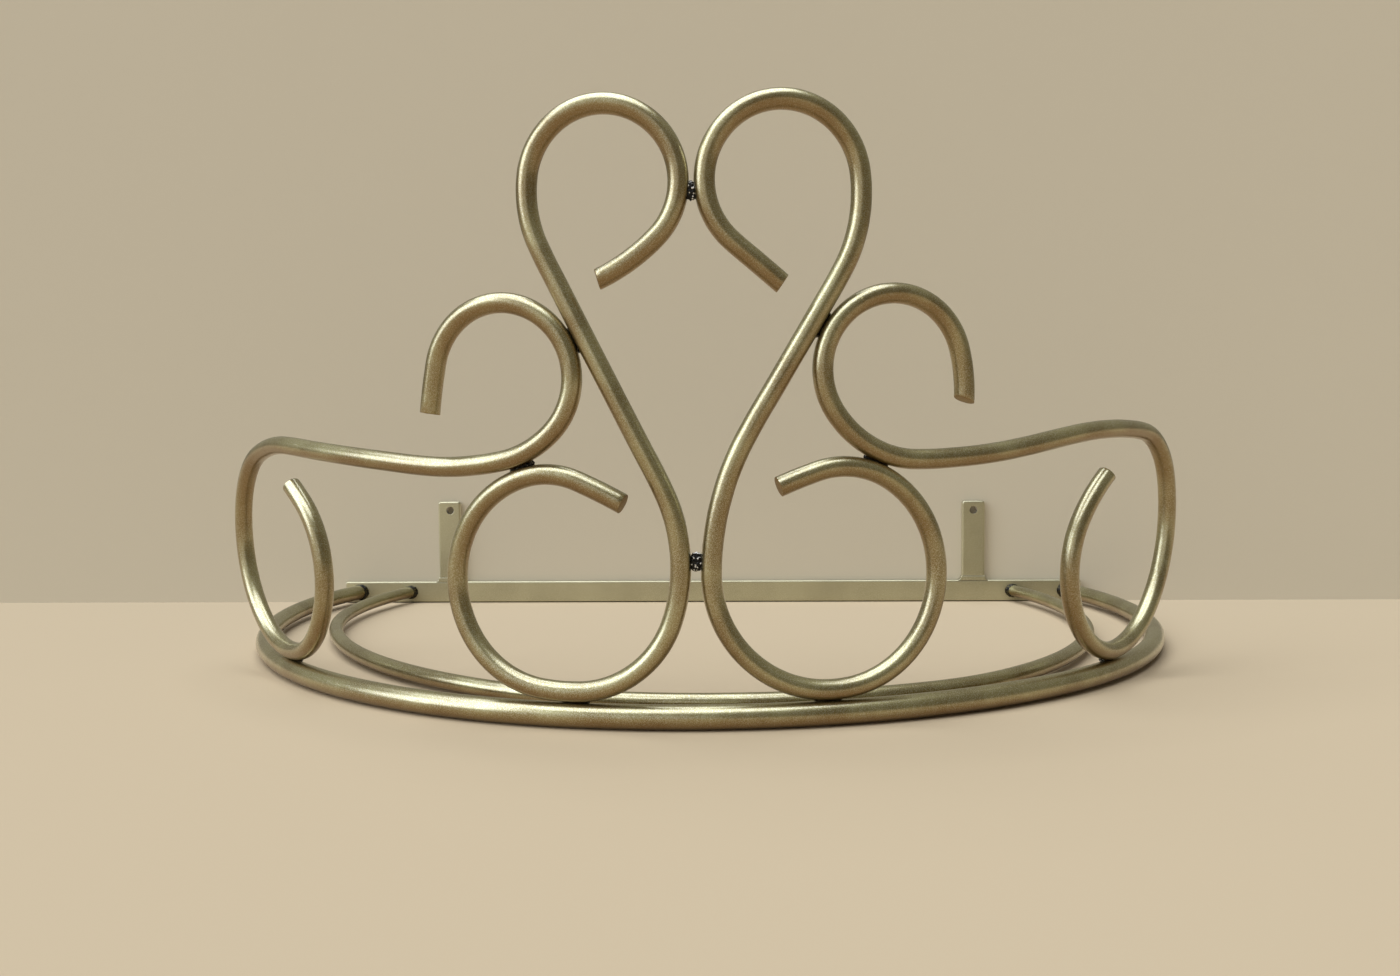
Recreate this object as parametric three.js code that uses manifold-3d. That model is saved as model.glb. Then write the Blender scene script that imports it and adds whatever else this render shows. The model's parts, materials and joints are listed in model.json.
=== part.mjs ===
// A bed crown: two half-round rings of round bar butt against a flat bar that lies on the wall, and
// four scrolls of bent round bar stand along the front of the outer ring. Two drilled tabs on the
// flat bar hang it. Everything is welded and nothing moves.
//
// Millimetres, +Z up, +Y into the wall. The origin is on the flat bar's back face, halfway up the
// bar and midway between the tabs. Left and right are as seen from the room.

import * as THREE from 'three';
import { mergeVertices } from 'three/addons/utils/BufferGeometryUtils.js';
import Module from 'manifold-3d';

const wasm = await Module();
wasm.setup();

// Flat stock of the wall bar and the tabs
const BAR_HEIGHT = 19;
const BAR_THICKNESS = 5;
const BAR_EDGE = 1.2;
const BAR_OVERHANG = 12;

// Hanging tabs, and their spacing as a share of the width between the outer ring's ends
const TAB_SPACING_SHARE = 0.7386;
const LEFT_TAB_HEIGHT = 72;
const RIGHT_TAB_HEIGHT = 70;
const TAB_CORNER = 2.5;
const HOLE_DIAMETER = 6.5;
const HOLE_DROP = 8;
const LEFT_HOLE_SHIFT = 1;

// Rings: rod, reach from the bar's front face, sideways place of the front point, and the radii of
// their arcs as shares of that reach. Each row is [radius share, degrees], from the front point to
// the bar, and the last arc of a half runs on until it meets the bar.
const OUTER_ROD = 13;
const OUTER_REACH = 411.5;
const OUTER_SHIFT = -7;
const OUTER_LEFT_SHARES = [[0.79, 90], [0.598]];
const OUTER_RIGHT_SHARES = [[0.892, 38], [0.717]];
const INNER_ROD = 10;
const RING_SPACING = 32.7;
const INNER_SHIFT = 3;
const INNER_LIFT = 1;
const INNER_LEFT_SHARES = [[0.668, 28.5], [0.89, 39.6], [0.631]];
const INNER_RIGHT_SHARES = [[0.903, 22.9], [0.48, 16.6], [0.763]];

// Scrolls: rod, and the radius of the round former that the loops are bent on. A scroll's bends are
// counted from its foot, where it stands on the outer ring: one table runs outwards, away from the
// ring's front point, and one back. Each row is [radius share, degrees] of a bend, or [length share,
// 0] of a straight, as shares of that radius. Degrees turn from outwards to up.
const SCROLL_ROD = 10.7;
const LOOP_RADIUS = 40;
const TALL_LEFT_OUT_SHARES = [[4.375, 5], [1.4, 160], [1.075, 41], [0.525, 0]];
const TALL_LEFT_BACK_SHARES = [[1.35, -72], [2.275, -45], [3.34, 0], [1.6, 34], [0.975, 218], [2.425, 21]];
const TALL_RIGHT_OUT_SHARES = [[2.025, 6], [1.45, 145], [1.175, 50], [0.45, 0]];
const TALL_RIGHT_BACK_SHARES = [[1.525, -91], [3.725, -30], [2.215, 0], [2, 38], [1, 223], [0.775, 0]];
const SIDE_LEFT_OUT_SHARES = [
  [1.7, 57], [1.59, 51], [1.375, 56], [3.55, 21], [2.8, 0], [4.475, -16], [1.325, -34], [0.975, -215], [0.6, 0],
];
const SIDE_LEFT_BACK_SHARES = [[2.125, -11], [1.025, -41], [1.4, -92], [0.25, 0]];
const SIDE_RIGHT_OUT_SHARES = [
  [1.575, 43], [2.016, 64], [1.1, 67], [7.925, 15], [0.825, 0], [10.675, -9], [1.375, -57], [0.975, -198],
  [2.175, -17],
];
const SIDE_RIGHT_BACK_SHARES = [[1.175, -61], [1.375, -63], [2.275, -20]];

// Where the scrolls stand. The left tall scroll's foot is set out along the ring, and each other
// scroll is slid up to its neighbour. A side scroll's surface leaves the ring a little before its
// foot, runs on straight, and leans out by a share that grows with the ring's turn.
const TALL_LEFT_FOOT = 50;
const TALL_GAP = 2.4;
const SIDE_GAP = 0.3;
const SIDE_LEFT_LEAVE = 11;
const SIDE_RIGHT_LEAVE = 2;
const SIDE_LEFT_LEAN_SHARE = 0.15;
const SIDE_RIGHT_LEAN_SHARE = 0.1;
const SLIDE_START = 320;
const SLIDE_STEP = 2;
const SLIDE_TOLERANCE = 0.02;

// Welds
const SEAT_GAP = 0.3;
const TAB_WELD_LIP = 0.5;
const TAB_WELD_FILLET = 2;
const COLLAR_LENGTH = 3.5;
const COLLAR_REACH = 2.4;
const COLLAR_LIP = 0.8;
const PLUG_LENGTH = 10;
const PLUG_WIDTH = 8;
const PLUG_DEPTH = 7;
const UPPER_PLUG_DROP = 6;
const LOWER_PLUG_RISE = 4;
const SEAM_LENGTH = 15;
const SEAM_WIDTH = 6.4;
const SEAM_DEPTH = 5;
const SEAM_SINK = 3.6;
const SPLIT_SHARE = 0.54;

// Facets
const OVERRUN = 8;
const RING_STEP = 18;
const SCROLL_STEP = 24;
const BEND_STEP = THREE.MathUtils.degToRad(9);
const OUTER_SIDES = 16;
const ROD_SIDES = 12;
const COLLAR_SIDES = 14;
const ARC_SEGMENTS = 2;
const HOLE_SEGMENTS = 8;
const SAMPLES_PER_STEP = 6;

// A closed geometry as a solid that can be joined and cut.
function solidOf(geometry) {
  const bare = geometry.clone();
  bare.deleteAttribute('normal');
  bare.deleteAttribute('uv');
  const merged = mergeVertices(bare);
  const mesh = new wasm.Mesh({
    numProp: 3,
    vertProperties: new Float32Array(merged.attributes.position.array),
    triVerts: new Uint32Array(merged.index.array),
  });
  return new wasm.Manifold(mesh);
}

function geometryOf(solid) {
  const mesh = solid.getMesh();
  const geometry = new THREE.BufferGeometry();
  geometry.setAttribute('position', new THREE.BufferAttribute(mesh.vertProperties, mesh.numProp));
  geometry.setIndex(new THREE.BufferAttribute(mesh.triVerts, 1));
  geometry.computeVertexNormals();
  return geometry;
}

function gold() {
  return new THREE.MeshStandardMaterial({ color: 0x9c8763, roughness: 0.42, metalness: 0.7 });
}

function darkWeld() {
  return new THREE.MeshStandardMaterial({ color: 0x4a3f30, roughness: 0.6, metalness: 0.6 });
}

function piece(name, geometry, material) {
  const mesh = new THREE.Mesh(geometry, material);
  mesh.name = name;
  return mesh;
}

// Arcs of half a ring in plan, from its front point. The last arc's turn is worked out so that the
// half ends a full reach away from the front point.
function ringArcs(reach, shares) {
  let heading = 0;
  let depth = 0;
  return shares.map(([radiusShare, degrees]) => {
    const radius = radiusShare * reach;
    const closing = Math.acos(Math.cos(heading) - (reach - depth) / radius) - heading;
    const turn = degrees === undefined ? closing : THREE.MathUtils.degToRad(degrees);
    depth += radius * (Math.cos(heading) - Math.cos(heading + turn));
    heading += turn;
    return { radius, turn };
  });
}

function arcsLength(arcs) {
  return arcs.reduce((sum, { radius, turn }) => sum + radius * turn, 0);
}

// Place and heading after a distance along the arcs, with x outwards and y towards the bar. It is
// straight before the front point and past the last arc.
function along(arcs, distance) {
  let x = Math.min(distance, 0);
  let y = 0;
  let heading = 0;
  let rest = Math.max(distance, 0);
  for (const { radius, turn } of arcs) {
    const length = Math.min(rest, radius * turn);
    const next = heading + length / radius;
    x += radius * (Math.sin(next) - Math.sin(heading));
    y += radius * (Math.cos(heading) - Math.cos(next));
    heading = next;
    rest -= length;
  }
  x += rest * Math.cos(heading);
  y += rest * Math.sin(heading);
  return { x, y, heading };
}

// A rod's centreline, in straight steps from station to station.
class Centreline extends THREE.Curve {
  constructor(stations) {
    super();
    this.stations = stations;
  }

  getPoint(t, target = new THREE.Vector3()) {
    const last = this.stations.length - 1;
    const index = Math.min(Math.floor(t * last), last - 1);
    return target.lerpVectors(this.stations[index], this.stations[index + 1], t * last - index);
  }

  getUtoTmapping(u) {
    return u;
  }
}

// Regular section of a round rod, with the same area as the circle.
function rodSection(radius, sides) {
  const step = (2 * Math.PI) / sides;
  const corner = radius * Math.sqrt(step / Math.sin(step));
  const points = Array.from({ length: sides }, (_, index) => new THREE.Vector2(
    corner * Math.cos(index * step),
    corner * Math.sin(index * step),
  ));
  return new THREE.Shape(points);
}

function rodGeometry(centreline, radius, sides) {
  return new THREE.ExtrudeGeometry(rodSection(radius, sides), {
    steps: centreline.stations.length - 1,
    extrudePath: centreline,
  });
}

// Rings. A ring lies level sideways and drops evenly from the middle of the bar to its front.
function ringHeight(reach, drop, y) {
  return -drop * (1 - y / reach);
}

function ringHalf({ reach, drop, shift, side, arcs }) {
  const length = arcsLength(arcs) + OVERRUN;
  const steps = Math.ceil(length / RING_STEP);
  return Array.from({ length: steps + 1 }, (_, index) => {
    const place = along(arcs, (length * index) / steps);
    return new THREE.Vector3(
      shift + side * place.x,
      place.y - reach,
      ringHeight(reach, drop, place.y),
    );
  });
}

function ringPlan({ reach, shift, rod, sides, lift, leftShares, rightShares }) {
  const drop = (BAR_HEIGHT - rod) / 2 - lift;
  const leftArcs = ringArcs(reach, leftShares);
  const rightArcs = ringArcs(reach, rightShares);
  const left = ringHalf({ reach, drop, shift, side: -1, arcs: leftArcs });
  const right = ringHalf({ reach, drop, shift, side: 1, arcs: rightArcs });
  const centreline = new Centreline([...left.reverse(), ...right.slice(1)]);
  const ends = [
    shift - along(leftArcs, arcsLength(leftArcs)).x,
    shift + along(rightArcs, arcsLength(rightArcs)).x,
  ];
  return { reach, drop, shift, rod, sides, leftArcs, rightArcs, centreline, ends };
}

const outer = ringPlan({
  reach: OUTER_REACH,
  shift: OUTER_SHIFT,
  rod: OUTER_ROD,
  sides: OUTER_SIDES,
  lift: 0,
  leftShares: OUTER_LEFT_SHARES,
  rightShares: OUTER_RIGHT_SHARES,
});
const inner = ringPlan({
  reach: OUTER_REACH - RING_SPACING,
  shift: INNER_SHIFT,
  rod: INNER_ROD,
  sides: ROD_SIDES,
  lift: INNER_LIFT,
  leftShares: INNER_LEFT_SHARES,
  rightShares: INNER_RIGHT_SHARES,
});

// All that lies behind the seat on the bar's front face, which is at y = 0 for the rings.
function behindFace() {
  const width = outer.ends[1] - outer.ends[0] + 2 * BAR_OVERHANG;
  const depth = 2 * OVERRUN;
  const block = new THREE.BoxGeometry(width, depth, 2 * BAR_HEIGHT);
  block.translate((outer.ends[0] + outer.ends[1]) / 2, depth / 2 - SEAT_GAP, 0);
  return solidOf(block);
}

const wall = behindFace();

function ringGeometry({ centreline, rod, sides }) {
  return geometryOf(solidOf(rodGeometry(centreline, rod / 2, sides)).subtract(wall));
}

// Scrolls. The surface that a scroll is bent in stands on the outer ring: u runs along the ring's
// centreline from its front point and v runs up from it.
function scrollSurface({ side, arcs, leave = Infinity, leanShare = 0 }) {
  return (u, v) => {
    const { x, y, heading } = along(arcs, Math.min(u, leave));
    const straight = Math.max(u - leave, 0);
    const lean = leanShare * (1 - Math.cos(heading)) * v;
    const outwards = x + straight * Math.cos(heading);
    const depth = y + straight * Math.sin(heading);
    return new THREE.Vector3(
      outer.shift + side * (outwards + lean * Math.sin(heading)),
      depth - lean * Math.cos(heading) - outer.reach,
      ringHeight(outer.reach, outer.drop, depth) + v,
    );
  };
}

// Flat places along a table of bends, from the foot on.
function walk(foot, startHeading, shares) {
  const places = [{ u: foot, v: (OUTER_ROD + SCROLL_ROD) / 2 + SEAT_GAP }];
  let heading = startHeading;
  for (const [share, degrees] of shares) {
    const turn = THREE.MathUtils.degToRad(degrees);
    const length = share * LOOP_RADIUS * (turn === 0 ? 1 : Math.abs(turn));
    const steps = Math.ceil(Math.max(Math.abs(turn) / BEND_STEP, length / SCROLL_STEP));
    const half = turn / steps / 2;
    const chord = (length / steps) * (turn === 0 ? 1 : Math.sin(half) / half);
    for (let step = 0; step < steps; step += 1) {
      const { u, v } = places[places.length - 1];
      const chordHeading = heading + half;
      places.push({ u: u + chord * Math.cos(chordHeading), v: v + chord * Math.sin(chordHeading) });
      heading += 2 * half;
    }
  }
  return places;
}

function scrollAt(foot, { side, leave, leanShare, outShares, backShares }) {
  const arcs = side < 0 ? outer.leftArcs : outer.rightArcs;
  const surface = scrollSurface({
    side,
    arcs,
    leave: leave === undefined ? Infinity : foot - leave,
    leanShare,
  });
  const out = walk(foot, 0, outShares);
  const back = walk(foot, Math.PI, backShares);
  const stations = [...back.reverse(), ...out.slice(1)].map(({ u, v }) => surface(u, v));
  return { foot, rod: SCROLL_ROD, sides: ROD_SIDES, centreline: new Centreline(stations) };
}

// Nearest places of two rods' centrelines, between two heights.
function nearest(first, second, low = -Infinity, high = Infinity) {
  const firstCount = SAMPLES_PER_STEP * (first.centreline.stations.length - 1);
  const secondCount = SAMPLES_PER_STEP * (second.centreline.stations.length - 1);
  const firstPoints = first.centreline.getPoints(firstCount);
  const secondPoints = second.centreline.getPoints(secondCount);
  let best = { distance: Infinity };
  firstPoints.forEach((start, index) => {
    if (start.z < low || start.z > high) {
      return;
    }
    for (const end of secondPoints) {
      const distance = start.distanceTo(end);
      if (distance < best.distance) {
        best = { distance, start, end, t: index / firstCount };
      }
    }
  });
  return best;
}

// Slides a scroll in along the ring until the given gap is left to its neighbour.
function slideUp(form, neighbour, gap) {
  const reach = SCROLL_ROD + gap;
  const clear = (foot) => nearest(scrollAt(foot, form), neighbour).distance > reach;
  let far = neighbour.foot + SLIDE_START;
  while (clear(far - SLIDE_STEP)) {
    far -= SLIDE_STEP;
  }
  let near = far - SLIDE_STEP;
  while (far - near > SLIDE_TOLERANCE) {
    const middle = (near + far) / 2;
    if (clear(middle)) {
      far = middle;
    } else {
      near = middle;
    }
  }
  return scrollAt(far, form);
}

const tallLeft = scrollAt(TALL_LEFT_FOOT, {
  side: -1,
  outShares: TALL_LEFT_OUT_SHARES,
  backShares: TALL_LEFT_BACK_SHARES,
});
const tallRight = slideUp({
  side: 1,
  outShares: TALL_RIGHT_OUT_SHARES,
  backShares: TALL_RIGHT_BACK_SHARES,
}, tallLeft, TALL_GAP);
const sideLeft = slideUp({
  side: -1,
  leave: SIDE_LEFT_LEAVE,
  leanShare: SIDE_LEFT_LEAN_SHARE,
  outShares: SIDE_LEFT_OUT_SHARES,
  backShares: SIDE_LEFT_BACK_SHARES,
}, tallLeft, SIDE_GAP);
const sideRight = slideUp({
  side: 1,
  leave: SIDE_RIGHT_LEAVE,
  leanShare: SIDE_RIGHT_LEAN_SHARE,
  outShares: SIDE_RIGHT_OUT_SHARES,
  backShares: SIDE_RIGHT_BACK_SHARES,
}, tallRight, SIDE_GAP);

function scrollGeometry({ centreline, rod, sides }) {
  return rodGeometry(centreline, rod / 2, sides);
}

// Flat bar and tabs
function roundedRectangle(width, height, radius) {
  const right = width / 2 - radius;
  const top = height / 2 - radius;
  const shape = new THREE.Shape();
  shape.absarc(right, top, radius, 0, Math.PI / 2);
  shape.absarc(-right, top, radius, Math.PI / 2, Math.PI);
  shape.absarc(-right, -top, radius, Math.PI, 1.5 * Math.PI);
  shape.absarc(right, -top, radius, 1.5 * Math.PI, 2 * Math.PI);
  shape.closePath();
  return shape;
}

function flatStock(length) {
  return new THREE.ExtrudeGeometry(roundedRectangle(BAR_HEIGHT, BAR_THICKNESS, BAR_EDGE), {
    depth: length,
    bevelEnabled: false,
    curveSegments: ARC_SEGMENTS,
  });
}

function wallBar() {
  const left = outer.ends[0] - BAR_OVERHANG;
  const right = outer.ends[1] + BAR_OVERHANG;
  const bar = piece('back_bar', flatStock(right - left), gold());
  bar.rotation.y = Math.PI / 2;
  bar.position.set(left, -BAR_THICKNESS / 2, 0);
  return bar;
}

// A tab is a length of the stock, trimmed by its front outline with the screw hole.
function tabGeometry(height, holeShift) {
  const side = BAR_HEIGHT / 2 + OVERRUN;
  const corner = BAR_HEIGHT / 2 - TAB_CORNER;
  const outline = new THREE.Shape();
  outline.moveTo(-side, -OVERRUN);
  outline.lineTo(side, -OVERRUN);
  outline.lineTo(side, height - TAB_CORNER);
  outline.lineTo(BAR_HEIGHT / 2, height - TAB_CORNER);
  outline.absarc(corner, height - TAB_CORNER, TAB_CORNER, 0, Math.PI / 2);
  outline.absarc(-corner, height - TAB_CORNER, TAB_CORNER, Math.PI / 2, Math.PI);
  outline.lineTo(-side, height - TAB_CORNER);
  const hole = new THREE.Path();
  hole.absarc(holeShift, height - HOLE_DROP, HOLE_DIAMETER / 2, 0, 2 * Math.PI);
  outline.holes.push(hole);
  const front = new THREE.ExtrudeGeometry(outline, {
    depth: BAR_THICKNESS + 2 * OVERRUN,
    bevelEnabled: false,
    curveSegments: HOLE_SEGMENTS,
  });
  front.rotateX(Math.PI / 2);
  front.translate(0, BAR_THICKNESS / 2 + OVERRUN, 0);
  const blank = flatStock(height + OVERRUN);
  blank.translate(0, 0, tabSeat());
  return geometryOf(solidOf(blank).intersect(solidOf(front)));
}

// Height of a tab's foot above the bar: its weld and the gaps over and under it.
function tabSeat() {
  return TAB_WELD_LIP + TAB_WELD_FILLET + 2 * SEAT_GAP;
}

// The weld under a tab spreads sideways over the bar in two hollow fillets.
function tabWeldGeometry() {
  const half = BAR_HEIGHT / 2;
  const top = TAB_WELD_LIP + TAB_WELD_FILLET;
  const foot = half + TAB_WELD_FILLET;
  const outline = new THREE.Shape();
  outline.moveTo(-foot, 0);
  outline.lineTo(foot, 0);
  outline.absarc(foot, top, TAB_WELD_FILLET, 1.5 * Math.PI, Math.PI, true);
  outline.absarc(-foot, top, TAB_WELD_FILLET, 0, 1.5 * Math.PI, true);
  outline.closePath();
  const weld = new THREE.ExtrudeGeometry(outline, {
    depth: BAR_THICKNESS,
    bevelEnabled: false,
    curveSegments: ARC_SEGMENTS,
  });
  weld.rotateX(Math.PI / 2);
  return weld;
}

function hangingTab(sideName, x, height, holeShift) {
  const group = new THREE.Group();
  const tab = piece(`tab_${sideName}`, tabGeometry(height, holeShift), gold());
  const weld = piece(`weld_tab_${sideName}`, tabWeldGeometry(), darkWeld());
  tab.position.y = -BAR_THICKNESS / 2;
  weld.position.z = SEAT_GAP;
  group.add(tab, weld);
  group.position.set(x, 0, BAR_HEIGHT / 2);
  return group;
}

// Welds between rods. Each is a lump that the rods, swollen by the seat gap, are cut out of.
function swollen({ centreline, rod, sides }) {
  return solidOf(rodGeometry(centreline, rod / 2 + SEAT_GAP, sides));
}

function lumpGeometry(first, second, contact, { length, width, depth, slip, sink }) {
  const tangent = first.centreline.getTangent(contact.t);
  const between = contact.end.clone().sub(contact.start).normalize();
  const inwards = tangent.clone().cross(between).normalize();
  if (inwards.y < 0) {
    inwards.negate();
  }
  if (tangent.z < 0) {
    tangent.negate();
  }
  const rise = new THREE.Vector3().crossVectors(between, inwards).normalize();
  const middle = contact.start.clone().lerp(contact.end, first.rod / (first.rod + second.rod));
  middle.addScaledVector(inwards, sink);
  middle.addScaledVector(tangent, slip);
  const lump = new THREE.SphereGeometry(1, ROD_SIDES, ROD_SIDES / 2);
  lump.scale(width / 2, depth / 2, length / 2);
  lump.applyMatrix4(new THREE.Matrix4().makeBasis(between, inwards, rise).setPosition(middle));
  const solid = solidOf(lump).subtract(swollen(first)).subtract(swollen(second));
  return geometryOf(solid);
}

const SEAM = { length: SEAM_LENGTH, width: SEAM_WIDTH, depth: SEAM_DEPTH, slip: 0, sink: SEAM_SINK };

function seam(name, first, second, low, high) {
  return piece(name, lumpGeometry(first, second, nearest(first, second, low, high), SEAM), darkWeld());
}

function plug(name, first, second, low, high, slip) {
  const size = { length: PLUG_LENGTH, width: PLUG_WIDTH, depth: PLUG_DEPTH, slip, sink: 0 };
  return piece(name, lumpGeometry(first, second, nearest(first, second, low, high), size), darkWeld());
}

// A ring's end, 0 on the left or 1 on the right, sits in a collar that tapers from the bar's face
// along the rod.
function collar(name, ring, end) {
  const reach = Math.min(COLLAR_REACH, (BAR_HEIGHT - ring.rod) / 2);
  const out = ring.centreline.getTangent(end);
  if (out.y > 0) {
    out.negate();
  }
  const length = COLLAR_LENGTH + OVERRUN;
  const taper = (reach - COLLAR_LIP) / COLLAR_LENGTH;
  const cone = new THREE.CylinderGeometry(
    ring.rod / 2 + COLLAR_LIP,
    ring.rod / 2 + COLLAR_LIP + taper * length,
    length,
    COLLAR_SIDES,
  );
  cone.translate(0, length / 2 - OVERRUN, 0);
  const turn = new THREE.Quaternion().setFromUnitVectors(new THREE.Vector3(0, 1, 0), out);
  cone.applyQuaternion(turn);
  cone.translate(ring.ends[end], 0, 0);
  return piece(name, geometryOf(solidOf(cone).subtract(swollen(ring)).subtract(wall)), darkWeld());
}

function rodWelds() {
  const tallTop = Math.max(...tallLeft.centreline.stations.map((station) => station.z));
  const split = SPLIT_SHARE * tallTop;
  return [
    collar('weld_outer_ring_left', outer, 0),
    collar('weld_outer_ring_right', outer, 1),
    collar('weld_inner_ring_left', inner, 0),
    collar('weld_inner_ring_right', inner, 1),
    seam('weld_tall_foot_left', tallLeft, outer),
    seam('weld_tall_foot_right', tallRight, outer),
    seam('weld_side_foot_left', sideLeft, outer),
    seam('weld_side_foot_right', sideRight, outer),
    plug('weld_tall_scrolls_upper', tallLeft, tallRight, split, Infinity, -UPPER_PLUG_DROP),
    plug('weld_tall_scrolls_lower', tallLeft, tallRight, -Infinity, split, LOWER_PLUG_RISE),
    seam('weld_side_left_upper', tallLeft, sideLeft, split, Infinity),
    seam('weld_side_left_lower', tallLeft, sideLeft, -Infinity, split),
    seam('weld_side_right_upper', tallRight, sideRight, split, Infinity),
    seam('weld_side_right_lower', tallRight, sideRight, -Infinity, split),
  ];
}

const crown = new THREE.Group();
const tabSpacing = TAB_SPACING_SHARE * (outer.ends[1] - outer.ends[0]);
crown.add(wallBar());
crown.add(hangingTab('left', -tabSpacing / 2, LEFT_TAB_HEIGHT, LEFT_HOLE_SHIFT));
crown.add(hangingTab('right', tabSpacing / 2, RIGHT_TAB_HEIGHT, 0));

// The rings, the scrolls and their welds are set out from the bar's front face.
const front = new THREE.Group();
front.position.y = -BAR_THICKNESS;
front.add(piece('outer_ring', ringGeometry(outer), gold()));
front.add(piece('inner_ring', ringGeometry(inner), gold()));
front.add(piece('tall_scroll_left', scrollGeometry(tallLeft), gold()));
front.add(piece('tall_scroll_right', scrollGeometry(tallRight), gold()));
front.add(piece('side_scroll_left', scrollGeometry(sideLeft), gold()));
front.add(piece('side_scroll_right', scrollGeometry(sideRight), gold()));
front.add(...rodWelds());
crown.add(front);

export default crown;
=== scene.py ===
"""A gilded bed crown on a pale studio floor: rings and scrolls of bent bar on a flat wall bar."""

import json
import math

import bmesh
import bpy
from mathutils import Matrix, Vector


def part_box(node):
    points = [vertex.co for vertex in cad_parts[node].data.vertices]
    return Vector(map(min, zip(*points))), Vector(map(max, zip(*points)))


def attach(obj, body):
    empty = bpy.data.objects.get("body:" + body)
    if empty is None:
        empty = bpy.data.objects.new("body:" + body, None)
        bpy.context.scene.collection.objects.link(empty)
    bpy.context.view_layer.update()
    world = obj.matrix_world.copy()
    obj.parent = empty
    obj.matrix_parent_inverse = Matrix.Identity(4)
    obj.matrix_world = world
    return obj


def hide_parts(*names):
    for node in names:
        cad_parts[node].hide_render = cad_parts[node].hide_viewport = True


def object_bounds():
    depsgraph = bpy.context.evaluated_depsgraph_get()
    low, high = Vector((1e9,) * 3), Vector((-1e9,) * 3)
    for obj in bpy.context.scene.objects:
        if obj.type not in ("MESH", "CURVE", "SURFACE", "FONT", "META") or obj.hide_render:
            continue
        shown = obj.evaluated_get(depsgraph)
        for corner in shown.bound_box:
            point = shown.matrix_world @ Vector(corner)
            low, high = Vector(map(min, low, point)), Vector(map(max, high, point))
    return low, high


bl_info = {
    "name": "Bed Crown",
    "version": (1, 0, 0),
    "blender": (4, 5, 0),
    "location": "View3D > Sidebar > Bed Crown",
    "description": "Builds the finished bars, welds and studio of a gilded bed crown",
    "category": "Add Mesh",
}

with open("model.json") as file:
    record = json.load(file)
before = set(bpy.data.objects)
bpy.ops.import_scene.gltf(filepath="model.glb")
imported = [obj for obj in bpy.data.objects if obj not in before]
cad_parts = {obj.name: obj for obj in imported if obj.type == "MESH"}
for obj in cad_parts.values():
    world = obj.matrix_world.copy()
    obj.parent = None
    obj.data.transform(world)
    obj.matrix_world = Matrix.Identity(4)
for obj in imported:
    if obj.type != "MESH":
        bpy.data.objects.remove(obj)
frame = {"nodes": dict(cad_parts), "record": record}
cad_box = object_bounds()

MM = 0.001
BODY = "root"

RINGS = ("outer_ring", "inner_ring")
# Each scroll's upper and lower end: how far it runs on past the solid, in millimetres, then how far
# its cut leans to the room and how far it is askew, in degrees.
SCROLLS = {
    "tall_scroll_left": ((0.9, 10, 11), (3.2, 5, 0)),
    "tall_scroll_right": ((1.2, 5, -5), (0.6, 3, 0)),
    "side_scroll_left": ((0.4, 4, 0), (1.3, 10, 0)),
    "side_scroll_right": ((0.2, 11, 22), (2.8, 10, 0)),
}
# Each tab, and the stated opening that its screw hole goes round.
TABS = {"tab_left": "left_screw_hole", "tab_right": "right_screw_hole"}
# Each bead between the tall scrolls, and how far it rises above its solid.
PLUGS = {"weld_tall_scrolls_upper": 1.8 * MM, "weld_tall_scrolls_lower": 0.9 * MM}
SEAMS = (
    "weld_side_left_upper",
    "weld_side_left_lower",
    "weld_side_right_upper",
    "weld_side_right_lower",
)
FEET = (
    "weld_tall_foot_left",
    "weld_tall_foot_right",
    "weld_side_foot_left",
    "weld_side_foot_right",
)
COLLARS = (
    "weld_outer_ring_left",
    "weld_outer_ring_right",
    "weld_inner_ring_left",
    "weld_inner_ring_right",
)
TAB_WELDS = ("weld_tab_left", "weld_tab_right")

# The looks of the welds: how far the skin swells past the solid, how deep and how long its ripples
# are, and how the solid is stretched and moved first.
PLUG_LOOK = {"swell": 0.2 * MM, "rough": 1.5 * MM, "wave": 1.3 * MM, "scale": (1, 0.55, 1)}
SEAM_LOOK = {"swell": 0.3 * MM, "rough": 0.35 * MM, "wave": 2 * MM}
FOOT_LOOK = {"swell": 0.35 * MM, "rough": 0.6 * MM, "wave": 2 * MM}
COLLAR_LOOK = {"swell": 0.1 * MM, "rough": 0.7 * MM, "wave": 3 * MM, "scale": (0.85, 0.6, 0.85)}
TAB_WELD_LOOK = {
    "swell": 0.02 * MM,
    "rough": 0.12 * MM,
    "wave": 4 * MM,
    "scale": (1.12, 1, 1.75),
    "shift": (0, -0.15 * MM, 0),
}
WELD_SMOOTHING = 6

# Two points this close are one.
HAIR = 0.01 * MM
# The least angle between the faces at a corner or rim of the stock, at the rim of a sawn end, and
# at an edge that smooth shading leaves sharp.
CORNER = math.radians(60)
SAWN_RIM = math.radians(45)
SHARP = math.radians(40)

# The sections at each end of a ring's solid that its cut to the wall bar may have moved, and the
# number of steps that the ring runs on there before it is cut again.
CUT_SECTIONS = 2
RING_SPARE = 4
# Shares of a bar's radius: how far it is made too long before it is sawn, how far the saw reaches,
# and how far from the middle of the cut its faces lie.
SAW_SPARE = 1.2
SAW_REACH = 2.2
CUT_REACH = 1.3
# The shortest edge that is left beside a slanting cut.
SAW_CRUMB = 0.5 * MM
# The face attribute for how bare of paint a sawn end is, and for painted shade on a hole's wall.
BARE_END_AND_HOLE_SHADE = "sawn"
END_BARE = 0.9
HOLE_SHADE = 1.0

# The drill for the tabs' holes.
DRILL_SIDES = 40
DRILL_LENGTH = 30 * MM

# The size of the paint's flakes; the colour of spatter, also of painted glints and of the painted
# highlight on a weld's top; how much a collar, darkened as painted shade, keeps of the paint's
# shade;
# and how much painted shade under flat stock and in holes keeps of the binder's brown.
FLAKE_SIZE = 0.45 * MM
SPATTER_AND_HIGHLIGHT = (0.85, 0.83, 0.78)
COLLAR_SHADE_SHARE = 0.3
UNDER_SHADE_SHARE = 0.15

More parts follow.
